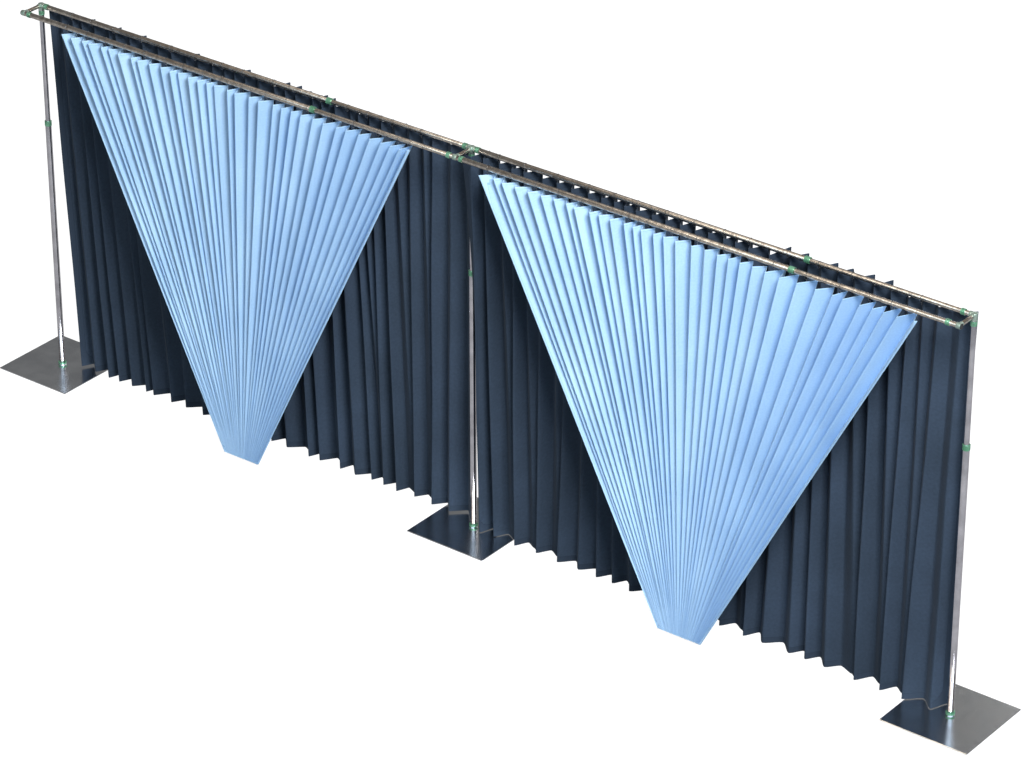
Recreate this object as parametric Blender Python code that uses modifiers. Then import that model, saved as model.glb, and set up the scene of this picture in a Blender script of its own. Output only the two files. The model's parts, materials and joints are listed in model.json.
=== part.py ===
"""Free-standing pipe-and-drape screen: two bays, three telescopic stands, a double top rail,
two full-length drapes and two fan-shaped swags. Metres, +Z up, the floor at Z = 0, the middle
stand's axis at X = Y = 0, the swags on the -Y side."""

import math

import bmesh
import bpy
from mathutils import Vector

# Driving dimensions, in metres
BAY = 3.66  # axis to axis of two neighbouring stands (12 ft)
RAIL_Z = 2.73  # height of the rails' centre lines (9 ft)
RAIL_GAP = 0.165  # back rail to front rail
GAP = 0.0003  # clearance between two pieces that touch

PLATE_SIDE = 0.62
PLATE_T = 0.008
PLATE_EDGE = 0.0015
FLANGE_R = 0.0275
FLANGE_T = 0.005
PIN_H = 0.15

LOWER_R = 0.0215
LOWER_WALL = 0.0025
UPPER_R = 0.0175
UPPER_WALL = 0.002
SPLIT_Z = 1.865  # mouth of the lower tube
UPPER_OVERLAP = 0.50  # upper tube hidden in the lower tube

OUTER_R = 0.0175
OUTER_WALL = 0.002
INNER_R = 0.0151
INNER_WALL = 0.0018
RAIL_SPLIT = 2.514  # mouth of a rail's outer tube, from the bay's left stand
RAIL_OVERLAP = 0.90  # inner rail tube hidden in the outer tube
CROSS_R = 0.013
CROSS_WALL = 0.0018

BASE_RING = (0.029, 0.014, 0.014)  # outer radius, height of its foot, length
LOCK_RING = (0.0240, 0.034)  # outer radius, length
LOCK_ABOVE = 0.45  # share of a lock collar's length beyond the tube's mouth
HEAD_RING = (0.0205, 2.664, 0.030)
RAIL_RING = (0.0202, 0.026)
RAIL_RING_X = 0.050  # from the stand's axis
LAST_RING_X = 0.072  # the same, beside the right-hand stand
RAIL_LOCK = (0.0215, 0.036)

HUB_R = 0.0205
HUB_DOWN = 0.030
HUB_UP = 0.017
FITTING_R = 0.0188
FITTING_LENGTH = 0.030
STUB_LENGTH = 0.045
CAP_T = 0.005
CAP_INSET = 0.002  # cap's inner rim inside the fitting's edge, and again at its outer rim

TAPE_T = 0.003
TAPE_TOP = 0.0259  # below the rail's centre
TAPE_H = 0.025
DRAPE_TAPE = (0.10, 3.55)  # start and end, from the bay's left stand
SWAG_TAPE = (0.32, 3.24)
HOOP_R = 0.0210  # bore of a hanging ring
HOOP_WIRE = 0.003
HOOPS = 7
HOOP_STEPS = 10
HOOP_INSET = 0.05  # first and last ring, from the tape's ends

FABRIC_T = 0.001
CLOTH_TOP_Z = RAIL_Z - TAPE_TOP - TAPE_H - 0.001
HEM_Z = 0.028
DRAPE_FOLDS = 33
DRAPE_TOP = (0.035, 3.625, 0.0325, 0.0675)  # start, end, middle y, half depth of the folds
DRAPE_HEM = (0.130, 3.600, 0.0550)  # start, end, half depth
SWAG_FOLDS = 35
SWAG_TOP = (0.30, 3.30, -RAIL_GAP, 0.0550)
SWAG_FOOT = (1.73, 2.03, -0.285, 0.0055)  # the folds keep their angle, so each panel is flat

STANDS = {"left": -BAY, "middle": 0.0, "right": BAY}
BAYS = {"left": -BAY, "right": 0.0}
HEM_Y = {"left": 0.085, "right": 0.015}  # middle of a drape's folds at the hem
TUBE_STEPS = 16
RING_STEPS = 16
HUB_STEPS = 20
FITTING_STEPS = 16
STUB_STEPS = 12


def clearScene():
    for obj in list(bpy.data.objects):
        bpy.data.objects.remove(obj, do_unlink=True)


def newCollection(name):
    collection = bpy.data.collections.new(name)
    bpy.context.scene.collection.children.link(collection)
    return collection


clearScene()
SCREEN = newCollection("drape_screen")
HELPERS = newCollection("helpers")


def material(name, hexColor, roughness, metallic):
    """A Principled material; hexColor is sRGB."""
    channels = [int(hexColor[i : i + 2], 16) / 255 for i in (0, 2, 4)]
    linear = [c / 12.92 if c <= 0.04045 else ((c + 0.055) / 1.055) ** 2.4 for c in channels]
    made = bpy.data.materials.new(name)
    made.use_nodes = True
    shader = made.node_tree.nodes["Principled BSDF"]
    shader.inputs["Base Color"].default_value = (*linear, 1)
    shader.inputs["Roughness"].default_value = roughness
    shader.inputs["Metallic"].default_value = metallic
    return made


CHROME = material("chromed steel tube", "b9b4ae", 0.18, 1.0)
PLATE_STEEL = material("polished dark steel", "5a5f66", 0.25, 1.0)
GREEN = material("green collar", "6fbf86", 0.45, 0.0)
BLACK = material("black plug", "1a1b1d", 0.5, 0.0)
NAVY = material("slate drape", "3a4757", 0.9, 0.0)
BLUE = material("light blue swag", "a9cdf5", 0.8, 0.0)
TAPE = material("heading tape", "2a313b", 0.9, 0.0)


def finish(obj, mat, smooth=True):
    obj.data.materials.append(mat)
    if smooth:
        obj.data.shade_smooth()
        obj.data.set_sharp_from_angle(angle=math.radians(40))
    return obj


def meshObject(name, bm, collection=SCREEN):
    mesh = bpy.data.meshes.new(name)
    bm.to_mesh(mesh)
    bm.free()
    obj = bpy.data.objects.new(name, mesh)
    collection.objects.link(obj)
    return obj


def helper(obj):
    obj.hide_render = True
    obj.display_type = "WIRE"
    return obj


def turned(name, profile, mat, steps, origin, alongX=False, collection=SCREEN):
    """A closed profile of (radius, height) points, turned about the axis through origin.

    The profile runs down its outer side and back up its inner side. With alongX its
    heights are measured along +X."""
    mesh = bpy.data.meshes.new(name)
    count = len(profile)
    onAxis = profile[0][0] == 0 and profile[-1][0] == 0
    edges = [(i, i + 1) for i in range(count - 1)]
    if not onAxis:
        edges.append((count - 1, 0))
    mesh.from_pydata([(radius, 0, height) for radius, height in profile], edges, [])
    obj = bpy.data.objects.new(name, mesh)
    collection.objects.link(obj)
    screw = obj.modifiers.new("turn", "SCREW")
    screw.axis = "Z"
    screw.steps = steps
    screw.render_steps = steps
    screw.use_merge_vertices = True
    screw.merge_threshold = 0.0001
    screw.use_smooth_shade = True
    obj.location = origin
    if alongX:
        obj.rotation_euler.y = math.pi / 2
    mesh.materials.append(mat)
    return obj


def sleeve(outer, bore, low, high):
    """Profile of a plain tube between two heights."""
    return [(outer, high), (outer, low), (bore, low), (bore, high)]


def turningBore(radius):
    """Bore whose flats clear a tube's corners at any turn."""
    return (radius + GAP) / math.cos(math.pi / RING_STEPS)


def lockProfile(outer, wideTube, narrowTube, length):
    """Collar over a tube's mouth, at height 0: wide below for the outer tube, narrow above."""
    above = length * LOCK_ABOVE
    below = above - length
    wide = turningBore(wideTube)
    narrow = turningBore(narrowTube)
    return [
        (outer, above),
        (outer, below),
        (wide, below),
        (wide, GAP),
        (narrow, GAP),
        (narrow, above),
    ]


def bar(name, radius, start, end):
    """Solid round bar between two points, a helper for a union."""
    start, end = Vector(start), Vector(end)
    bm = bmesh.new()
    bmesh.ops.create_cone(
        bm, cap_ends=True, segments=STUB_STEPS, radius1=radius, radius2=radius, depth=(end - start).length
    )
    obj = helper(meshObject(name, bm, HELPERS))
    obj.rotation_euler = (end - start).to_track_quat("Z", "X").to_euler()
    obj.location = (start + end) / 2
    return obj


def union(obj, others):
    for other in others:
        boolean = obj.modifiers.new(other.name, "BOOLEAN")
        boolean.operation = "UNION"
        boolean.object = other
    return obj


def basePlate(side, x):
    bm = bmesh.new()
    bmesh.ops.create_cube(bm, size=1)
    bmesh.ops.scale(bm, vec=(PLATE_SIDE, PLATE_SIDE, PLATE_T), verts=bm.verts)
    obj = finish(meshObject(f"base_plate_{side}", bm), PLATE_STEEL, smooth=False)
    obj.location = (x, 0, PLATE_T / 2)
    edge = obj.modifiers.new("eased edges", "BEVEL")
    edge.width = PLATE_EDGE
    edge.segments = 1


def stand(side, x):
    """Everything that stays on the floor: plate, pin, foot ring, lower tube, and its lock."""
    basePlate(side, x)
    foot = PLATE_T + GAP
    bore = LOWER_R - LOWER_WALL
    pinR = bore - 2 * GAP
    pin = [
        (0, foot + PIN_H),
        (pinR, foot + PIN_H),
        (pinR, foot + FLANGE_T),
        (FLANGE_R, foot + FLANGE_T),
        (FLANGE_R, foot),
        (0, foot),
    ]
    turned(f"base_spigot_{side}", pin, CHROME, TUBE_STEPS, (x, 0, 0))
    tubeFoot = foot + FLANGE_T + GAP
    tube = sleeve(LOWER_R, bore, tubeFoot, SPLIT_Z)
    turned(f"lower_tube_{side}", tube, CHROME, TUBE_STEPS, (x, 0, 0))
    radius, low, length = BASE_RING
    ring = sleeve(radius, LOWER_R + GAP, low, low + length)
    turned(f"base_ring_{side}", ring, GREEN, RING_STEPS, (x, 0, 0))
    radius, length = LOCK_RING
    lock = lockProfile(radius, LOWER_R, UPPER_R, length)
    turned(f"lock_collar_{side}", lock, GREEN, RING_STEPS, (x, 0, SPLIT_Z))


def headHub(side, x, stubs):
    """Vertical block on the upper tube, with a stub for each tube that meets it."""
    bm = bmesh.new()
    bmesh.ops.create_cone(
        bm, cap_ends=True, segments=HUB_STEPS, radius1=HUB_R, radius2=HUB_R, depth=HUB_DOWN + HUB_UP
    )
    hub = finish(meshObject(f"head_hub_{side}", bm), CHROME)
    hub.location = (x, 0, RAIL_Z + (HUB_UP - HUB_DOWN) / 2)
    down = UPPER_R - UPPER_WALL - 2 * GAP
    centre = Vector((x, 0, RAIL_Z))
    foot = centre - Vector((0, 0, HUB_DOWN + STUB_LENGTH))
    bars = [bar(f"hub_stub_down_{side}", down, centre, foot)]
    for number, (radius, direction) in enumerate(stubs):
        tip = centre + Vector(direction) * (HUB_R + STUB_LENGTH)
        bars.append(bar(f"hub_stub_{side}_{number}", radius, centre, tip))
    union(hub, bars)


def frontFitting(name, x, stubs):
    """Horizontal block at the front end of a cross tube, in line with the front rail."""
    bm = bmesh.new()
    bmesh.ops.create_cone(
        bm,
        cap_ends=True,
        segments=FITTING_STEPS,
        radius1=FITTING_R,
        radius2=FITTING_R,
        depth=FITTING_LENGTH,
    )
    fitting = finish(meshObject(name, bm), CHROME)
    centre = Vector((x, -RAIL_GAP, RAIL_Z))
    fitting.location = centre
    fitting.rotation_euler.y = math.pi / 2
    bars = []
    for number, (radius, direction) in enumerate(stubs):
        tip = centre + Vector(direction) * (FITTING_R + STUB_LENGTH)
        bars.append(bar(f"{name}_stub_{number}", radius, centre, tip))
    union(fitting, bars)


def head(side, x):
    """Upper tube, its ring, the hub, the cross tube and the front fitting of one stand."""
    top = RAIL_Z - HUB_DOWN - GAP
    tube = sleeve(UPPER_R, UPPER_R - UPPER_WALL, SPLIT_Z - UPPER_OVERLAP, top)
    turned(f"upper_tube_{side}", tube, CHROME, TUBE_STEPS, (x, 0, 0))
    radius, low, length = HEAD_RING
    ring = sleeve(radius, UPPER_R + GAP, low, low + length)
    turned(f"head_ring_{side}", ring, GREEN, RING_STEPS, (x, 0, 0))

    outerStub = OUTER_R - OUTER_WALL - 2 * GAP
    innerStub = INNER_R - INNER_WALL - 2 * GAP
    crossStub = CROSS_R - CROSS_WALL - 2 * GAP
    railStubs = []
    if side != "right":
        railStubs.append((outerStub, (1, 0, 0)))
    if side != "left":
        railStubs.append((innerStub, (-1, 0, 0)))
    headHub(side, x, railStubs + [(crossStub, (0, -1, 0))])
    kind = "tee" if side == "middle" else "elbow"
    frontFitting(f"front_{kind}_{side}", x, railStubs + [(crossStub, (0, 1, 0))])

    start = -HUB_R - 2 * GAP
    end = -RAIL_GAP + FITTING_R + 2 * GAP
    cross = sleeve(CROSS_R, CROSS_R - CROSS_WALL, end, start)
    obj = turned(f"cross_tube_{side}", cross, CHROME, TUBE_STEPS, (x, 0, RAIL_Z))
    obj.rotation_euler.x = -math.pi / 2


def endCap(side, x, outward):
    """Plug on the open end of a corner fitting."""
    bm = bmesh.new()
    wide = FITTING_R - CAP_INSET
    bmesh.ops.create_cone(
        bm, cap_ends=True, segments=FITTING_STEPS, radius1=wide, radius2=wide - CAP_INSET, depth=CAP_T
    )
    cap = finish(meshObject(f"front_cap_{side}", bm), BLACK)
    offset = FITTING_LENGTH / 2 + GAP + CAP_T / 2
    cap.location = (x + outward * offset, -RAIL_GAP, RAIL_Z)
    cap.rotation_euler.y = outward * math.pi / 2


def rail(row, bay, x0, y):
    """One telescopic rail: outer tube, inner tube, a ring at each end and a lock between."""
    block = HUB_R if row == "back" else FITTING_LENGTH / 2
    near = block + 2 * GAP
    far = BAY - block - 2 * GAP
    origin = (x0, y, RAIL_Z)
    outer = sleeve(OUTER_R, OUTER_R - OUTER_WALL, near, RAIL_SPLIT)
    turned(f"{row}_rail_outer_{bay}", outer, CHROME, TUBE_STEPS, origin, alongX=True)
    inner = sleeve(INNER_R, INNER_R - INNER_WALL, RAIL_SPLIT - RAIL_OVERLAP, far)
    turned(f"{row}_rail_inner_{bay}", inner, CHROME, TUBE_STEPS, origin, alongX=True)

    radius, length = RAIL_RING
    first = sleeve(radius, OUTER_R + GAP, -length / 2, length / 2)
    last = sleeve(radius, INNER_R + GAP, -length / 2, length / 2)
    lastX = x0 + BAY - (LAST_RING_X if bay == "right" else RAIL_RING_X)
    turned(f"{row}_rail_first_ring_{bay}", first, GREEN, RING_STEPS, (x0 + RAIL_RING_X, y, RAIL_Z), True)
    turned(f"{row}_rail_last_ring_{bay}", last, GREEN, RING_STEPS, (lastX, y, RAIL_Z), True)

    radius, length = RAIL_LOCK
    lock = lockProfile(radius, OUTER_R, INNER_R, length)
    turned(f"{row}_rail_lock_{bay}", lock, GREEN, RING_STEPS, (x0 + RAIL_SPLIT, y, RAIL_Z), True)


def headingTape(name, start, end, y):
    """Flat tape along the cloth's top edge, with a row of rings round the rail."""
    bm = bmesh.new()
    bmesh.ops.create_cube(bm, size=1)
    bmesh.ops.scale(bm, vec=(end - start, TAPE_T, TAPE_H), verts=bm.verts)
    tape = finish(meshObject(name, bm), TAPE, smooth=False)
    tape.location = ((start + end) / 2, y, RAIL_Z - TAPE_TOP - TAPE_H / 2)
    drop = HOOP_R * math.cos(math.pi / HOOP_STEPS) - OUTER_R - GAP
    step = (end - start - 2 * HOOP_INSET) / (HOOPS - 1)
    hoopProfile = sleeve(HOOP_R + HOOP_WIRE, HOOP_R, -HOOP_WIRE / 2, HOOP_WIRE / 2)
    hoops = []
    for number in range(HOOPS):
        origin = (start + HOOP_INSET + number * step, y, RAIL_Z - drop)
        hoop = turned(f"{name}_hoop_{number}", hoopProfile, TAPE, HOOP_STEPS, origin, True, HELPERS)
        hoops.append(helper(hoop))
    union(tape, hoops)


def cloth(name, mat, folds, x0, top, bottom):
    """Pleated sheet hung between two zigzags, each given as (start, end, middle y, half depth)."""
    bm = bmesh.new()
    bmesh.ops.create_grid(bm, x_segments=2 * folds, y_segments=1, size=0.5)
    for vert in bm.verts:
        along = vert.co.x + 0.5
        side = 1 if round(along * 2 * folds) % 2 else -1
        upper = vert.co.y > 0
        start, end, middle, half = top if upper else bottom
        z = CLOTH_TOP_Z if upper else HEM_Z
        vert.co = (x0 + start + (end - start) * along, middle + side * half, z)
    obj = finish(meshObject(name, bm), mat, smooth=False)
    skin = obj.modifiers.new("thickness", "SOLIDIFY")
    skin.thickness = FABRIC_T
    skin.offset = 0


for side, x in STANDS.items():
    stand(side, x)
    head(side, x)
endCap("left", -BAY, -1)
endCap("right", BAY, 1)

for bay, x0 in BAYS.items():
    rail("back", bay, x0, 0)
    rail("front", bay, x0, -RAIL_GAP)
    headingTape(f"drape_tape_{bay}", x0 + DRAPE_TAPE[0], x0 + DRAPE_TAPE[1], 0)
    headingTape(f"swag_tape_{bay}", x0 + SWAG_TAPE[0], x0 + SWAG_TAPE[1], -RAIL_GAP)
    start, end, halfDepth = DRAPE_HEM
    hem = (start, end, HEM_Y[bay], halfDepth)
    cloth(f"drape_{bay}", NAVY, DRAPE_FOLDS, x0, DRAPE_TOP, hem)
    cloth(f"swag_{bay}", BLUE, SWAG_FOLDS, x0, SWAG_TOP, SWAG_FOOT)
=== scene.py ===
import json
import math
import random

import bmesh
import bpy
from mathutils import Matrix, Vector


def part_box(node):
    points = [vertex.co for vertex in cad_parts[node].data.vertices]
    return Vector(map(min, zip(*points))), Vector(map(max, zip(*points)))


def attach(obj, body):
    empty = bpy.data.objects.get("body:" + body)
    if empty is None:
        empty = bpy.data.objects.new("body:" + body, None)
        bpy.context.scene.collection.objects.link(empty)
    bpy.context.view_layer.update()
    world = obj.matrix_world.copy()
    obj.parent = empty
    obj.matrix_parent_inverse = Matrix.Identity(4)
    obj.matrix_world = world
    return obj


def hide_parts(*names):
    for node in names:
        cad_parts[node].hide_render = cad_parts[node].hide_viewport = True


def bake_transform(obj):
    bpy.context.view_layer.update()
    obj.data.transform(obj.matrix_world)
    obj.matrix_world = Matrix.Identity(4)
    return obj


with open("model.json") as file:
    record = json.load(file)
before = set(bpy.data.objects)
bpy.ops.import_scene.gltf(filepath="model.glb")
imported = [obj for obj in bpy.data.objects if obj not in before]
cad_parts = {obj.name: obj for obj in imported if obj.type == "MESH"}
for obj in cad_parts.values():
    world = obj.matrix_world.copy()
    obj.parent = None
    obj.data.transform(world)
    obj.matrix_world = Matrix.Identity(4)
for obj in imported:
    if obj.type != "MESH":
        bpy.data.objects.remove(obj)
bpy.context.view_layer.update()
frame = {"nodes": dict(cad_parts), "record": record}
behaviour = frame["record"]["behaviour"]
bodyOf = {node: body for body, nodes in behaviour["bodies"].items() for node in nodes}


def middle(node):
    low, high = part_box(node)
    return (low + high) / 2


def spans(node):
    low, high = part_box(node)
    return high - low


sides = ("left", "middle", "right")
bays = ("left", "right")
rows = ("back", "front")
standX = {side: middle(f"lower_tube_{side}").x for side in sides}
railZ = middle("back_rail_outer_left").z
railY = {row: middle(f"{row}_rail_outer_left").y for row in rows}
bayStart = {"left": standX["left"], "right": standX["middle"]}
bayWidth = standX["middle"] - standX["left"]

lowerR = spans("lower_tube_left").x / 2
upperR = spans("upper_tube_left").x / 2
outerRailR = spans("back_rail_outer_left").y / 2
innerRailR = spans("back_rail_inner_left").y / 2
crossR = spans("cross_tube_left").x / 2


# Stage

studio = {
    "azimuth": 37.6325,  # degrees, from the front towards the right
    "elevation": 28.5167,
    "distance": 26.087,
    "lens": 143.432,
    "target": (0.2364, 0.1133, 1.1293),
    "floorSide": 160.0,
    "floorColour": "6a6a6c",
    "floorMirrored": 0.35,
    "backdrop": 1.9,
    "worldStrength": 1.0,
    "wallsOnCloth": 0.14,
    "shine": (2.2, 2.8, 3.2, 1),
    "shineAcross": (-0.35, -0.15),
    "shineAhead": (0.15, -0.05),
}
lamps = {
    "key": {"spot": (9.6, -6.0, 12.5), "facing": (0, 0, 1.2), "size": (5.0, 5.0), "power": 3000,
            "colour": (1.0, 1.0, 1.0)},
    "warm strip": {"spot": (-0.8, -8.7, 10.9), "facing": (0, 0, 2.4), "size": (6.0, 3.0), "power": 280,
                   "colour": (1.0, 0.86, 0.68)},
    "top": {"spot": (-1.0, -1.0, 11.0), "facing": (0, 0, 0), "size": (12.0, 5.0), "power": 150,
            "colour": (1.0, 0.98, 0.94)},
    "rear": {"spot": (2.0, 12.0, 6.0), "facing": (0, 0, 1.2), "size": (9.0, 3.0), "power": 300,
             "colour": (1.0, 0.98, 0.95)},
}


def srgb(code):
    channels = [int(code[i:i + 2], 16) / 255 for i in (0, 2, 4)]
    return tuple(c / 12.92 if c <= 0.04045 else ((c + 0.055) / 1.055) ** 2.4 for c in channels) + (1,)


def addNode(tree, kind, settings=None, values=None, links=None, stops=None):
    node = tree.nodes.new(kind)
    for key, value in (settings or {}).items():
        setattr(node, key, value)
    for key, value in (values or {}).items():
        node.inputs[key].default_value = value
    for key, source in (links or {}).items():
        tree.links.new(source, node.inputs[key])
    if stops:
        elements = node.color_ramp.elements
        while len(elements) < len(stops):
            elements.new(0.5)
        for element, (place, code) in zip(elements, stops):
            element.position = place
            element.color = srgb(code)
    return node


def makeCamera():
    turn = math.radians(studio["azimuth"])
    rise = math.radians(studio["elevation"])
    away = Vector((math.sin(turn) * math.cos(rise), -math.cos(turn) * math.cos(rise), math.sin(rise)))
    data = bpy.data.cameras.new("camera")
    data.lens = studio["lens"]
    data.clip_end = 300
    camera = bpy.data.objects.new("camera", data)
    camera.location = Vector(studio["target"]) + away * studio["distance"]
    camera.rotation_euler = away.to_track_quat("Z", "Y").to_euler()
    bpy.context.scene.collection.objects.link(camera)
    bpy.context.scene.camera = camera


def makeFloor():
    bm = bmesh.new()
    bmesh.ops.create_grid(bm, x_segments=1, y_segments=1, size=studio["floorSide"] / 2)
    mesh = bpy.data.meshes.new("studio_floor")
    bm.to_mesh(mesh)
    bm.free()
    floor = bpy.data.objects.new("studio_floor", mesh)
    bpy.context.scene.collection.objects.link(floor)
    paint = bpy.data.materials.new("white studio floor")
    paint.use_nodes = True
    shader = paint.node_tree.nodes["Principled BSDF"]
    shader.inputs["Base Color"].default_value = srgb(studio["floorColour"])
    shader.inputs["Roughness"].default_value = 0.9
    # blown out white where it is looked at, grey where the metal mirrors it
    shader.inputs["Emission Color"].default_value = (1, 1, 1, 1)
    tree = paint.node_tree
    seen = addNode(tree, "ShaderNodeLightPath")
    glow = addNode(tree, "ShaderNodeMath", {"operation": "MULTIPLY_ADD"}, {1: studio["floorMirrored"]},
                   {0: seen.outputs["Is Glossy Ray"], 2: seen.outputs["Is Camera Ray"]})
    tree.links.new(glow.outputs["Value"], shader.inputs["Emission Strength"])
    mesh.materials.append(paint)


def softbox(name, look):
    data = bpy.data.lights.new(name, "AREA")
    data.shape = "RECTANGLE"
    data.size, data.size_y = look["size"]
    data.energy = look["power"]
    data.color = look["colour"]
    lamp = bpy.data.objects.new(name, data)
    lamp.location = look["spot"]
    lamp.rotation_euler = (Vector(look["spot"]) - Vector(look["facing"])).to_track_quat("Z", "Y").to_euler()
    bpy.context.scene.collection.objects.link(lamp)


def makeWorld():
    world = bpy.data.worlds.new("studio")
    bpy.context.scene.world = world
    world.use_nodes = True
    tree = world.node_tree
    background = tree.nodes["Background"]
    coords = addNode(tree, "ShaderNodeTexCoord")
    split = addNode(tree, "ShaderNodeSeparateXYZ", links={"Vector": coords.outputs["Generated"]})
    height = addNode(tree, "ShaderNodeMapRange", values={"From Min": -1.0},
                     links={"Value": split.outputs["Z"]})
    # warm grey walls, palest at eye level, under a brown-grey ceiling
    walls = addNode(tree, "ShaderNodeValToRGB", links={"Fac": height.outputs["Result"]}, stops=(
        (0.0, "a8a7a6"), (0.5, "b0aeac"), (0.62, "7d7e80"),
        (0.78, "767778"), (0.87, "94887c"), (1.0, "b8ac9e")))
    # a cool bright band in front of the screen, which the tubes throw down onto the plates
    across, ahead = [
        addNode(tree, "ShaderNodeMapRange", values={"From Min": start, "From Max": full},
                links={"Value": split.outputs[axis]})
        for axis, (start, full) in (("X", studio["shineAcross"]), ("Y", studio["shineAhead"]))]
    level = addNode(tree, "ShaderNodeValToRGB", links={"Fac": height.outputs["Result"]}, stops=(
        (0.56, "000000"), (0.62, "ffffff"), (0.82, "ffffff"), (0.88, "000000")))
    inFront = addNode(tree, "ShaderNodeMath", {"operation": "MULTIPLY"},
                      links={0: across.outputs["Result"], 1: ahead.outputs["Result"]})
    band = addNode(tree, "ShaderNodeMath", {"operation": "MULTIPLY"},
                   links={0: inFront.outputs["Value"], 1: level.outputs["Color"]})
    room = addNode(tree, "ShaderNodeMix", {"data_type": "RGBA"}, {7: studio["shine"]},
                   {0: band.outputs["Value"], 6: walls.outputs["Color"]})
    seen = addNode(tree, "ShaderNodeLightPath")
    shown = addNode(tree, "ShaderNodeMix", {"data_type": "RGBA"}, {7: (studio["backdrop"],) * 3 + (1,)},
                    {0: seen.outputs["Is Camera Ray"], 6: room.outputs[2]})
    tree.links.new(shown.outputs[2], background.inputs["Color"])
    # the walls light the cloth less than they show in the metal, so the folds stay deep
    strength = addNode(tree, "ShaderNodeMapRange", values={
        "To Min": studio["worldStrength"], "To Max": studio["wallsOnCloth"]},
        links={"Value": seen.outputs["Is Diffuse Ray"]})
    tree.links.new(strength.outputs["Result"], background.inputs["Strength"])


makeCamera()
makeFloor()
makeWorld()
for name, look in lamps.items():
    softbox(name, look)
bpy.context.scene.view_settings.view_transform = "Standard"
print("stage ready")


# Finishes

def newFinish(name, look):
    finish = bpy.data.materials.new(name)
    finish.use_nodes = True
    shader = finish.node_tree.nodes["Principled BSDF"]
    shader.inputs["Base Color"].default_value = srgb(look["light"])
    shader.inputs["Metallic"].default_value = look["metallic"]
    shader.inputs["Roughness"].default_value = look["smooth"]
    return finish, finish.node_tree, shader


def metalFinish(name, look):
    # patches of handling over a grain: colour and gloss change in patches, the grain catches light
    finish, tree, shader = newFinish(name, look)
    coords = addNode(tree, "ShaderNodeTexCoord").outputs["Object"]
    patches = addNode(tree, "ShaderNodeTexNoise", values={"Scale": 1000 / look["patchMm"], "Detail": 4.0},
                      links={"Vector": coords})
    grain = addNode(tree, "ShaderNodeTexNoise", values={"Scale": 1000 / look["grainMm"], "Detail": 2.0},
                    links={"Vector": coords})
    tint = addNode(tree, "ShaderNodeValToRGB", links={"Fac": patches.outputs["Fac"]},
                   stops=((0.35, look["dark"]), (0.65, look["light"])))
    gloss = addNode(tree, "ShaderNodeMapRange", values={
        "From Min": 0.3, "From Max": 0.7, "To Min": look["rough"], "To Max": look["smooth"]},
        links={"Value": patches.outputs["Fac"]})
    bump = addNode(tree, "ShaderNodeBump", values={
        "Strength": look["bump"], "Distance": look["grainMm"] / 5000},
        links={"Height": grain.outputs["Fac"]})
    tree.links.new(tint.outputs["Color"], shader.inputs["Base Color"])
    tree.links.new(gloss.outputs["Result"], shader.inputs["Roughness"])
    tree.links.new(bump.outputs["Normal"], shader.inputs["Normal"])
    return finish


weaveLook = {"sheenSpread": 0.4, "specular": 0.06, "cloudsPerMetre": 1.3, "stitchMm": 1.2, "hemStep": 2.0}


def clothFinish(name, look):
    # two crossing sets of soft ribs, slubs along them, and stitched edges; real threads are too fine to
    # show, so the ribs are many times as wide
    finish, tree, shader = newFinish(name, look)
    shader.inputs["Sheen Weight"].default_value = look["sheen"]
    shader.inputs["Sheen Roughness"].default_value = weaveLook["sheenSpread"]
    shader.inputs["Specular IOR Level"].default_value = weaveLook["specular"]
    uv = addNode(tree, "ShaderNodeUVMap", {"uv_map": "cloth"}).outputs["UV"]
    # at a scale of 1 the wave repeats every pi / 10 metres
    warp, weft = [addNode(tree, "ShaderNodeTexWave", {"bands_direction": direction},
                          {"Scale": 100 * math.pi / look["ribMm"], "Distortion": 0.6, "Detail": 1.0},
                          {"Vector": uv})
                  for direction in ("X", "Y")]
    weave = addNode(tree, "ShaderNodeMath", {"operation": "MULTIPLY"},
                    links={0: warp.outputs["Fac"], 1: weft.outputs["Fac"]})
    slubs = addNode(tree, "ShaderNodeTexNoise", values={"Scale": 1000 / look["slubMm"], "Detail": 3.0},
                    links={"Vector": uv})
    clouds = addNode(tree, "ShaderNodeTexNoise", values={"Scale": weaveLook["cloudsPerMetre"], "Detail": 3.0},
                     links={"Vector": uv})
    tone = addNode(tree, "ShaderNodeMath", {"operation": "MULTIPLY_ADD"}, {1: 0.5},
                   {0: slubs.outputs["Fac"], 2: clouds.outputs["Fac"]})
    dye = addNode(tree, "ShaderNodeValToRGB", links={"Fac": tone.outputs["Value"]},
                  stops=((0.55, look["dark"]), (0.75, look["light"]), (0.95, look["pale"])))
    # distance to the cloth's nearest edge: a double layer as wide as the hem, and a stitched line at its end
    edge = addNode(tree, "ShaderNodeAttribute", {"attribute_name": "edge"}).outputs["Fac"]
    folded = addNode(tree, "ShaderNodeMath", {"operation": "LESS_THAN"}, {1: look["hemMm"] / 1000}, {0: edge})
    line = addNode(tree, "ShaderNodeMath", {"operation": "COMPARE"},
                   {1: look["hemMm"] / 1000, 2: weaveLook["stitchMm"] / 1000}, {0: edge})
    doubled = addNode(tree, "ShaderNodeMix", {"data_type": "RGBA"}, {7: srgb(look["hem"])},
                      {0: folded.outputs["Value"], 6: dye.outputs["Color"]})
    stitched = addNode(tree, "ShaderNodeMix", {"data_type": "RGBA"}, {7: srgb(look["thread"])},
                       {0: line.outputs["Value"], 6: doubled.outputs[2]})
    step = addNode(tree, "ShaderNodeMath", {"operation": "MULTIPLY_ADD"}, {1: weaveLook["hemStep"]},
                   {0: folded.outputs["Value"], 2: weave.outputs["Value"]})
    bump = addNode(tree, "ShaderNodeBump", values={
        "Strength": look["bump"], "Distance": look["reliefMm"] / 1000},
        links={"Height": step.outputs["Value"]})
    tree.links.new(stitched.outputs[2], shader.inputs["Base Color"])
    tree.links.new(bump.outputs["Normal"], shader.inputs["Normal"])
    return finish


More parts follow.
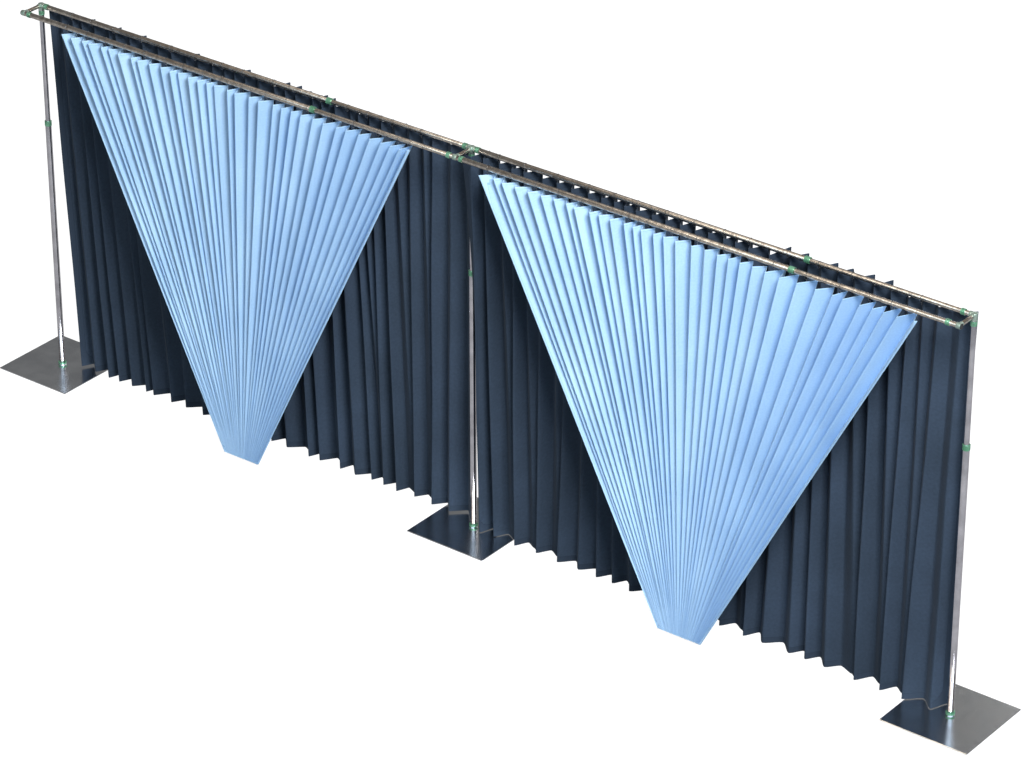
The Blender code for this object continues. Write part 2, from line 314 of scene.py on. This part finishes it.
# chromed steel tube: cool, nearly clean mirror with faint finger marks
chrome = metalFinish("chromed steel tube", {
    "light": "d2d0d6", "dark": "b6b4ba", "metallic": 1.0, "smooth": 0.10, "rough": 0.22,
    "patchMm": 110, "grainMm": 2.4, "bump": 0.05})
# nickel-plated rail: the same mirror, yellower and a little worn
nickel = metalFinish("nickel plated rail", {
    "light": "d4ccc2", "dark": "9c938a", "metallic": 1.0, "smooth": 0.18, "rough": 0.32,
    "patchMm": 26, "grainMm": 2.4, "bump": 0.06})
# zinc-plated wire and screws: dull grey
zinc = metalFinish("zinc plated wire", {
    "light": "8f9296", "dark": "6a6c70", "metallic": 1.0, "smooth": 0.28, "rough": 0.42,
    "patchMm": 12, "grainMm": 0.8, "bump": 0.10})
# satin zinc casting: pale grey with a green cast
casting = metalFinish("passivated zinc casting", {
    "light": "a9bcb0", "dark": "8c9e94", "metallic": 0.8, "smooth": 0.30, "rough": 0.42,
    "patchMm": 30, "grainMm": 1.2, "bump": 0.12})
# green anodised aluminium: muted satin metal
anodised = metalFinish("green anodised aluminium", {
    "light": "7db093", "dark": "538a6b", "metallic": 0.6, "smooth": 0.30, "rough": 0.44,
    "patchMm": 40, "grainMm": 1.2, "bump": 0.12})
# moulded nylon plug: dull black with a fine spark grain
nylon = metalFinish("moulded black nylon", {
    "light": "1d1e20", "dark": "141517", "metallic": 0.0, "smooth": 0.45, "rough": 0.60,
    "patchMm": 15, "grainMm": 0.9, "bump": 0.20})
# ground steel plate under clear lacquer: pale soft mirror with a faint ripple
plateSteel = metalFinish("lacquered steel plate", {
    "light": "dcdee0", "dark": "c6c9cd", "metallic": 1.0, "smooth": 0.18, "rough": 0.24,
    "patchMm": 160, "grainMm": 7.0, "bump": 0.16})
# napped polyester: matt, a soft sheen on the tips of the folds
drapeWeave = clothFinish("napped polyester drape", {
    "light": "374353", "dark": "323d4b", "pale": "3c495b", "hem": "343f4e", "thread": "2a3442",
    "metallic": 0.0, "smooth": 0.9, "sheen": 0.04,
    "ribMm": 13.82, "reliefMm": 0.44, "slubMm": 18, "hemMm": 40, "bump": 0.35})
# fine polyester voile: smoother, slightly brighter on grazed folds
swagWeave = clothFinish("fine polyester voile", {
    "light": "a5c8ea", "dark": "9cc0e4", "pale": "afd1f0", "hem": "add0f0", "thread": "8db1d8",
    "metallic": 0.0, "smooth": 0.8, "sheen": 0.05,
    "ribMm": 10.05, "reliefMm": 0.32, "slubMm": 14, "hemMm": 12, "bump": 0.25})
print("finishes ready")


# Metal pieces

def newPiece(name, bm, finish, creaseDegrees=35):
    mesh = bpy.data.meshes.new(name)
    bm.to_mesh(mesh)
    bm.free()
    piece = bpy.data.objects.new(name, mesh)
    bpy.context.scene.collection.objects.link(piece)
    mesh.materials.append(finish)
    mesh.shade_smooth()
    mesh.set_sharp_from_angle(angle=math.radians(creaseDegrees))
    return piece


def standFor(piece, node):
    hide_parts(node)
    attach(piece, bodyOf[node])


mergeGap = 1e-5
sharpTurn = 0.7  # radians


def turnShape(bm, profile, segments, eased=0.0, closed=True):
    # spins an outline of (radius, height) points about Z; an open one starts and ends on the axis
    old = set(bm.verts)
    verts = [bm.verts.new((radius, 0, height)) for radius, height in profile]
    edges = [bm.edges.new(pair) for pair in zip(verts, verts[1:])]
    if closed:
        edges.append(bm.edges.new((verts[-1], verts[0])))
    bmesh.ops.spin(bm, geom=verts + edges, cent=(0, 0, 0), axis=(0, 0, 1), angle=2 * math.pi,
                   steps=segments, use_merge=True)
    made = [vert for vert in bm.verts if vert not in old]
    bmesh.ops.remove_doubles(bm, verts=made, dist=mergeGap)
    made = [vert for vert in bm.verts if vert not in old]
    faces = list({face for vert in made for face in vert.link_faces})
    bmesh.ops.recalc_face_normals(bm, faces=faces)
    if eased:
        sharp = list({edge for vert in made for edge in vert.link_edges
                      if edge.is_manifold and edge.calc_face_angle() > sharpTurn})
        bmesh.ops.bevel(bm, geom=sharp, offset=eased, offset_type="OFFSET", segments=2, profile=0.5,
                        affect="EDGES", clamp_overlap=True, material=-1)
    return [vert for vert in bm.verts if vert not in old]


def aim(bm, verts, centre, direction):
    # turns a shape made about Z to run along direction, with its zero at centre
    turn = Vector(direction).to_track_quat("Z", "X").to_matrix().to_4x4()
    bmesh.ops.transform(bm, matrix=Matrix.Translation(centre) @ turn, verts=verts)


alongX, alongY, alongZ = (1, 0, 0), (0, 1, 0), (0, 0, 1)
tubeLook = {"segments": 40, "eased": 0.0006, "wall": 0.0022}


def makeTube(node, direction, finish):
    length = max(spans(node))
    radius = min(spans(node)) / 2
    bore = radius - tubeLook["wall"]
    bm = bmesh.new()
    outline = [(radius, length / 2), (radius, -length / 2), (bore, -length / 2), (bore, length / 2)]
    verts = turnShape(bm, outline, tubeLook["segments"], tubeLook["eased"])
    aim(bm, verts, middle(node), direction)
    standFor(newPiece(node + "_fine", bm, finish), node)


for side in sides:
    makeTube(f"lower_tube_{side}", alongZ, chrome)
    makeTube(f"upper_tube_{side}", alongZ, chrome)
    makeTube(f"cross_tube_{side}", alongY, nickel)
for bay in bays:
    for row in rows:
        makeTube(f"{row}_rail_outer_{bay}", alongX, nickel)
        makeTube(f"{row}_rail_inner_{bay}", alongX, nickel)
print("tubes ready")

ringLook = {"segments": 40, "eased": 0.0007, "groove": 0.0011, "grooveWidth": 0.0025, "grooveAt": 0.45,
            "clearance": 0.0003}
lockLook = {"ribs": 20, "ribDepth": 0.0012, "ribEdge": 0.0004, "lip": 0.006, "mouth": 0.05}
screwLook = {"radius": 0.0034, "height": 0.0026, "socket": 0.0018, "socketDepth": 0.0016, "root": 0.002,
             "segments": 20, "eased": 0.0004, "onStand": (0.5, -0.86, 0), "onRail": (0, -0.35, 0.94)}


def makeRing(node, direction, tubeRadius):
    # clamp ring with two turned grooves
    sizes = sorted(spans(node))
    length = spans(node).dot(Vector(direction))
    radius = sizes[-1] / 2 if length < sizes[-1] - 1e-4 else sizes[0] / 2
    bore = tubeRadius + ringLook["clearance"]
    half = length / 2
    bottom = radius - ringLook["groove"]
    width = ringLook["grooveWidth"]
    outline = [(radius, half)]
    for centre in (ringLook["grooveAt"] * half, -ringLook["grooveAt"] * half):
        outline += [(radius, centre + width / 2), (bottom, centre + width / 2),
                    (bottom, centre - width / 2), (radius, centre - width / 2)]
    outline += [(radius, -half), (bore, -half), (bore, half)]
    bm = bmesh.new()
    verts = turnShape(bm, outline, ringLook["segments"], ringLook["eased"])
    aim(bm, verts, middle(node), direction)
    standFor(newPiece(node + "_fine", bm, anodised), node)
    return radius


def makeScrew(node, ringRadius, direction):
    # socket-head clamp screw, standing out of a ring
    radius, height = screwLook["radius"], screwLook["height"]
    socket, root = screwLook["socket"], -screwLook["root"]
    bottom = height - screwLook["socketDepth"]
    outline = [(0, bottom), (socket, bottom), (socket, height), (radius, height), (radius, root), (0, root)]
    bm = bmesh.new()
    verts = turnShape(bm, outline, screwLook["segments"], screwLook["eased"], closed=False)
    aim(bm, verts, middle(node) + Vector(direction).normalized() * ringRadius, direction)
    screw = newPiece(node.replace("ring", "screw"), bm, zinc)
    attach(screw, bodyOf[node])


def makeLock(node, direction, radius, wideTube, narrowTube):
    # ribbed grip between two plain lips, bored for the wide tube at one end and the narrow one at the other
    wide = wideTube + ringLook["clearance"]
    narrow = narrowTube + ringLook["clearance"]
    length = spans(node).dot(Vector(direction))
    half, lip = length / 2, lockLook["lip"]
    mouth = lockLook["mouth"] * length + ringLook["clearance"]
    outline = [(radius, half), (radius, half - lip), (radius, lip - half), (radius, -half),
               (wide, -half), (wide, mouth), (narrow, mouth), (narrow, half)]
    bm = bmesh.new()
    turnShape(bm, outline, 2 * lockLook["ribs"])
    grips = []
    for face in bm.faces:
        centre = face.calc_center_median()
        if math.hypot(centre.x, centre.y) > (radius + wide) / 2 and abs(centre.z) < half - lip:
            share = math.atan2(centre.y, centre.x) / (2 * math.pi)
            if math.floor(share * 2 * lockLook["ribs"]) % 2:
                grips.append(face)
    bmesh.ops.inset_individual(bm, faces=grips, thickness=lockLook["ribEdge"],
                                depth=-lockLook["ribDepth"])
    aim(bm, bm.verts, middle(node), direction)
    standFor(newPiece(node + "_fine", bm, anodised), node)


for side in sides:
    for node, tube in ((f"base_ring_{side}", lowerR), (f"head_ring_{side}", upperR)):
        makeScrew(node, makeRing(node, alongZ, tube), screwLook["onStand"])
    node = f"lock_collar_{side}"
    makeLock(node, alongZ, spans(node).x / 2, lowerR, upperR)
for bay in bays:
    for row in rows:
        for end, tube in (("first", outerRailR), ("last", innerRailR)):
            node = f"{row}_rail_{end}_ring_{bay}"
            makeScrew(node, makeRing(node, alongX, tube), screwLook["onRail"])
        node = f"{row}_rail_lock_{bay}"
        makeLock(node, alongX, spans(node).y / 2, outerRailR, innerRailR)
print("collars ready")

headLook = {"segments": 40, "socketSegments": 32, "socketReach": 0.030, "socketEased": 0.0008}
hubLook = {"radius": 0.0205, "down": 0.030, "up": 0.012, "dome": 0.005, "domeSteps": 6, "eased": 0.0008,
           "socket": 0.0192, "crossWall": 0.003}
fittingLook = {"radius": 0.0188, "half": 0.015, "eased": 0.0012, "socket": 0.0155}
capLook = {"radius": 0.0168, "depth": 0.005, "dish": 0.011, "dishDepth": 0.0012, "rim": 0.001,
           "eased": 0.0003, "gap": 0.0003}


def addSocket(bm, radius, centre, way):
    reach = headLook["socketReach"]
    verts = turnShape(bm, [(0, 0), (radius, 0), (radius, reach), (0, reach)],
                      headLook["socketSegments"], headLook["socketEased"], closed=False)
    aim(bm, verts, centre, way)


def makeHub(side):
    # domed block on the upper tube, with a short socket towards every tube that meets it
    radius, top, foot = hubLook["radius"], hubLook["up"], -hubLook["down"]
    centre = Vector((standX[side], 0, railZ))
    turns = [step * math.pi / 2 / hubLook["domeSteps"] for step in range(hubLook["domeSteps"] + 1)]
    outline = [(radius * math.sin(turn), top + hubLook["dome"] * math.cos(turn)) for turn in turns]
    outline += [(radius, foot), (0, foot)]
    bm = bmesh.new()
    verts = turnShape(bm, outline, headLook["segments"], hubLook["eased"], closed=False)
    bmesh.ops.translate(bm, vec=centre, verts=verts)
    addSocket(bm, crossR + hubLook["crossWall"], centre, (0, -1, 0))
    if side != "right":
        addSocket(bm, hubLook["socket"], centre, (1, 0, 0))
    if side != "left":
        addSocket(bm, hubLook["socket"], centre, (-1, 0, 0))
    standFor(newPiece(f"head_hub_{side}_fine", bm, casting), f"head_hub_{side}")


def makeFitting(node, side):
    # block in line with the front rail, with a socket back to the cross tube
    centre = Vector((standX[side], railY["front"], railZ))
    radius, half = fittingLook["radius"], fittingLook["half"]
    bm = bmesh.new()
    verts = turnShape(bm, [(0, half), (radius, half), (radius, -half), (0, -half)],
                      headLook["segments"], fittingLook["eased"], closed=False)
    aim(bm, verts, centre, alongX)
    addSocket(bm, fittingLook["socket"], centre, alongY)
    standFor(newPiece(node + "_fine", bm, casting), node)


def makeCap(side, way):
    # pushed-in plug with a rounded rim and a shallow dish
    radius, depth, dish, rim = capLook["radius"], capLook["depth"], capLook["dish"], capLook["rim"]
    bottom = depth - capLook["dishDepth"]
    outline = [(0, bottom), (dish, bottom), (dish + rim, depth), (radius - rim, depth),
               (radius, depth - rim), (radius, 0), (0, 0)]
    bm = bmesh.new()
    verts = turnShape(bm, outline, headLook["segments"], capLook["eased"], closed=False)
    start = Vector((standX[side] + way * (fittingLook["half"] + capLook["gap"]), railY["front"], railZ))
    aim(bm, verts, start, (way, 0, 0))
    standFor(newPiece(f"front_cap_{side}_fine", bm, nylon), f"front_cap_{side}")


for side in sides:
    makeHub(side)
    makeFitting("front_tee_middle" if side == "middle" else f"front_elbow_{side}", side)
    for kind, finish in (("base_plate", plateSteel), ("base_spigot", chrome)):
        frame["nodes"][f"{kind}_{side}"].material_slots[0].material = finish
makeCap("left", -1)
makeCap("right", 1)
print("heads ready")


# Cloths

# top and hem are distances from the bay's left stand, the fronts and backs are places of the folds' tips
drapeLook = {
    "left": {
        "seed": 11, "folds": 33, "fading": 7, "top": (0.055, 3.625), "hem": (0.150, 3.600),
        "topFront": 0.012, "topBack": 0.080, "hemFront": 0.035, "hemBack": 0.120,
        "deepBack": 0.108, "deepFront": 0.012, "deepFrom": 0.0, "deepShare": 0.15,
        "topSharp": 0.985, "hemSharp": 0.980, "width": 0.45, "lean": 1.0, "hemZ": 0.022, "settle": 1,
        "first": (), "last": (),
    },
    "right": {
        "seed": 23, "folds": 31, "fading": 11, "top": (0.115, 3.555), "hem": (0.190, 3.535),
        "topFront": -0.038, "topBack": 0.072, "hemFront": -0.035, "hemBack": 0.050,
        "deepBack": 0.124, "deepFront": 0.018, "deepFrom": 0.66, "deepShare": 0.55,
        "topSharp": 0.985, "hemSharp": 0.85, "width": 0.32, "lean": 1.0, "hemZ": 0.013, "settle": 4,
        # the leading edge wraps in front of the middle stand, the last fold ends behind the right one
        "first": ((-0.045, -0.045, 0.052, -0.012), (0.035, -0.055, 0.085, -0.045),
                  (0.075, 0.090, 0.135, 0.070)),
        "last": ((3.628, 0.100, 3.588, 0.085),),
    },
}
swagLook = {
    "left": {
        "seed": 5, "folds": 34, "fading": 0, "top": (0.365, 3.310), "hem": (1.740, 2.030),
        "topFront": -0.200, "topBack": -0.132, "hemFront": -0.271, "hemBack": -0.261,
        "deepBack": -0.115, "deepFront": -0.212, "deepFrom": 0.75, "deepShare": 0.6,
        "topSharp": 0.995, "hemSharp": 0.98, "width": 0.42, "lean": 1.24, "hemZ": 0.022, "settle": 1,
        "first": (),
        "last": ((3.300, -0.196, 2.024, -0.266), (3.318, -0.186, 2.036, -0.262)),
    },
    "right": {
        "seed": 8, "folds": 34, "fading": 0, "top": (0.215, 3.390), "hem": (1.700, 2.020),
        "topFront": -0.202, "topBack": -0.130, "hemFront": -0.306, "hemBack": -0.296,
        "deepBack": -0.105, "deepFront": -0.222, "deepFrom": 0.72, "deepShare": 0.8,
        "topSharp": 0.995, "hemSharp": 0.98, "width": 0.42, "lean": 1.22, "hemZ": 0.022, "settle": 1,
        "first": (),
        "last": ((3.380, -0.198, 2.012, -0.302), (3.398, -0.188, 2.024, -0.298)),
    },
}
clothLook = {
    "drape": {"rail": "back", "drop": 0.028, "depth": 0.012, "sway": 0.007,
              "columns": 8, "rows": 26, "thick": 0.0012, "flatLength": 2.67},
    "swag": {"rail": "front", "drop": 0.044, "depth": 0.010, "sway": 0.002,
             "columns": 6, "rows": 18, "thick": 0.0008, "flatLength": 2.68},
}
foldLook = {"usualDepth": 0.11, "hemSpread": 0.15, "fadedWidth": 0.22, "fadedPlaces": (0.42, 0.58),
            "roundness": 0.45, "swayWaves": 2.2, "edgeRow": 0.98, "crease": 80}


def foldTips(look, kind):
    # (x at the top, y at the top, x at the hem, y at the hem) of each fold's tip, front and back in turn
    chance = random.Random(look["seed"])
    folds = look["folds"]
    fading = set()
    while len(fading) < look["fading"]:
        fold = chance.randrange(1, folds - 1)
        if not fading & {fold - 1, fold, fold + 1}:
            fading.add(fold)
    topX, hemX, topY, hemY = [0.0], [0.0], [], []
    for tip in range(2 * folds + 1):
        share = tip / (2 * folds)
        isBack = tip % 2
        wobble = chance.uniform(-1, 1) * kind["depth"]
        end = "Back" if isBack else "Front"
        deep = share > look["deepFrom"] and (not isBack or chance.random() < look["deepShare"])
        top = look[("deep" if deep else "top") + end]
        hem = look["hem" + end]
        topY.append(top + wobble)
        hemY.append(hem + wobble * (look["hemBack"] - look["hemFront"]) / foldLook["usualDepth"])
        lean = 2 - look["lean"] if isBack else look["lean"]
        width = lean * chance.uniform(1 - look["width"], 1 + look["width"])
        topX.append(topX[-1] + width)
        width *= chance.uniform(1 - foldLook["hemSpread"], 1 + foldLook["hemSpread"])
        hemX.append(hemX[-1] + width * (foldLook["fadedWidth"] if tip // 2 in fading else 1.0))
    for fold in fading:
        # a fading fold's two tips end near the straight line between their neighbours
        tip = 2 * fold
        before, after = hemY[tip - 1], hemY[tip + 2]
        for offset, place in enumerate(foldLook["fadedPlaces"]):
            hemY[tip + offset] = before + (after - before) * place
    scaleTop = (look["top"][1] - look["top"][0]) / topX[-2]
    scaleHem = (look["hem"][1] - look["hem"][0]) / hemX[-2]
    regular = [(look["top"][0] + a * scaleTop, b, look["hem"][0] + c * scaleHem, d)
               for a, b, c, d in zip(topX, topY, hemX, hemY)]
    return list(look["first"]) + regular + list(look["last"])


def makeCloth(name, kindName, bay, look, finish):
    kind = clothLook[kindName]
    tips = foldTips(look, kind)
    chance = random.Random(look["seed"] + 100)
    swing = [(chance.uniform(0, 2 * math.pi), chance.uniform(-1, 1)) for tip in tips]
    halves = len(tips) - 1
    columns, rowCount = halves * kind["columns"], kind["rows"]
    edgeRow, roundness = foldLook["edgeRow"], foldLook["roundness"]
    top = railZ - kind["drop"]
    bm = bmesh.new()
    uv = bm.loops.layers.uv.new("cloth")
    edge = bm.verts.layers.float.new("edge")
    bmesh.ops.create_grid(bm, x_segments=columns, y_segments=rowCount, size=0.5)
    spot = {}
    for vert in bm.verts:
        column = round((vert.co.x + 0.5) * columns)
        row = round((0.5 - vert.co.y) * rowCount)
        spot[vert] = (column, row)
        # the first and last rows lie close to the edges, so that only the rims are rounded
        down = min(max((row - edgeRow) / (rowCount - 2 * edgeRow), 0), 1)
        half = min(column // kind["columns"], halves - 1)
        part = column / kind["columns"] - half
        curl = math.cos(math.pi * part)
        part = 0.5 - 0.5 * curl * (1 - roundness + roundness * abs(curl))
        sharp = look["topSharp"] + (look["hemSharp"] - look["topSharp"]) * down
        turned = 0.5 - math.asin(sharp * math.cos(math.pi * part)) / math.asin(sharp) / 2
        ends = []
        for tip in (half, half + 1):
            xTop, yTop, xHem, yHem = tips[tip]
            phase, size = swing[tip]
            wave = math.sin(foldLook["swayWaves"] * math.pi * down + phase)
            sway = kind["sway"] * size * math.sin(math.pi * down) * wave
            moved = 1 - (1 - down) ** look["settle"] if tip == 0 else down
            ends.append((xTop + (xHem - xTop) * moved + sway, yTop + (yHem - yTop) * down))
        (x0, y0), (x1, y1) = ends
        vert.co = (bayStart[bay] + x0 + (x1 - x0) * part, y0 + (y1 - y0) * turned,
                   top + (look["hemZ"] - top) * down)
    labelCloth(spot, columns, rowCount, uv, edge)
    bmesh.ops.recalc_face_normals(bm, faces=bm.faces)
    piece = newPiece(name, bm, finish, foldLook["crease"])
    skin = piece.modifiers.new("cloth thickness", "SOLIDIFY")
    skin.thickness = kind["thick"]
    skin.offset = 0
    return piece, tips


def labelCloth(spot, columns, rowCount, uv, edge):
    # measures the cloth along each row and column, in metres, for its UV map and its edge distance
    grid = {place: vert for vert, place in spot.items()}
    across, down = {}, {}
    for row in range(rowCount + 1):
        across[0, row] = 0.0
        for column in range(1, columns + 1):
            step = (grid[column, row].co - grid[column - 1, row].co).length
            across[column, row] = across[column - 1, row] + step
    for column in range(columns + 1):
        down[column, 0] = 0.0
        for row in range(1, rowCount + 1):
            step = (grid[column, row].co - grid[column, row - 1].co).length
            down[column, row] = down[column, row - 1] + step
    for vert, (column, row) in spot.items():
        left = across[column, row]
        right = across[columns, row] - left
        vert[edge] = min(left, right, down[column, row], down[column, rowCount] - down[column, row])
        for loop in vert.link_loops:
            loop[uv].uv = (left - across[columns, row] / 2, down[column, row])


hangerLook = {"bore": 0.0212, "wire": 0.0011, "sides": 6, "steps": 22, "every": 2, "shank": 0.018,
              "clear": 0.036, "widthChanges": (-1.0, 0.0, 0.5), "crease": 50}


def makeHangers(name, node, kindName, bay, tips):
    # wire rings over the rail with a straight shank down into the heading, one at every second fold
    kind = clothLook[kindName]
    row = kind["rail"]
    y = railY[row]
    taken = [middle(f"{row}_rail_{part}_{bay}").x for part in ("first_ring", "last_ring", "lock")]
    bm = bmesh.new()
    wire = hangerLook["wire"]
    for half in range(0, len(tips) - 1, 2 * hangerLook["every"]):
        (x0, y0), (x1, y1) = tips[half][:2], tips[half + 1][:2]
        x = bayStart[bay] + x0 + (x1 - x0) * min(max((y - y0) / (y1 - y0), 0), 1)
        # no ring where it would sit on a collar at rest or at either end of the bay's travel; in between,
        # the rings still pass through the lock, because their bore is narrower than it
        share = (x - bayStart[bay]) / bayWidth
        carried = share * share * (3 - 2 * share)
        places = [x + change * carried for change in hangerLook["widthChanges"]]
        if min(abs(place - other) for place in places for other in taken) < hangerLook["clear"]:
            continue
        radius = outerRailR if x < middle(f"{row}_rail_lock_{bay}").x else innerRailR
        bore = hangerLook["bore"]
        centre = Vector((x, y, railZ - (bore - radius)))
        old = set(bm.verts)
        section = bmesh.ops.create_circle(bm, segments=hangerLook["sides"], radius=wire)["verts"]
        bmesh.ops.rotate(bm, verts=section, matrix=Matrix.Rotation(math.pi / 2, 3, "X"))
        bmesh.ops.translate(bm, verts=section, vec=(bore + wire, 0, 0))
        edges = list({edge for vert in section for edge in vert.link_edges})
        bmesh.ops.spin(bm, geom=section + edges, cent=(0, 0, 0), axis=(0, 0, 1), angle=2 * math.pi,
                       steps=hangerLook["steps"], use_merge=True)
        made = [vert for vert in bm.verts if vert not in old]
        bmesh.ops.remove_doubles(bm, verts=made, dist=mergeGap)
        made = [vert for vert in bm.verts if vert not in old]
        aim(bm, made, centre, alongX)
        shank = bmesh.ops.create_cone(bm, cap_ends=True, segments=hangerLook["sides"], radius1=wire,
                                      radius2=wire, depth=hangerLook["shank"])["verts"]
        foot = centre.z - bore - 2 * wire - hangerLook["shank"] / 2 + wire
        bmesh.ops.translate(bm, verts=shank, vec=(x, y, foot))
    bmesh.ops.recalc_face_normals(bm, faces=bm.faces)
    rings = newPiece(name, bm, zinc, hangerLook["crease"])
    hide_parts(node)
    return rings


def hang(kindName, bay, look, finish):
    name = f"{kindName}_{bay}"
    cloth, tips = makeCloth(name + "_cloth", kindName, bay, look, finish)
    rings = makeHangers(name + "_rings", f"{kindName}_tape_{bay}", kindName, bay, tips)
    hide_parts(name)
    for piece in (cloth, rings):
        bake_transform(piece)


for bay in bays:
    hang("drape", bay, drapeLook[bay], drapeWeave)
    hang("swag", bay, swagLook[bay], swagWeave)
print("cloths ready")
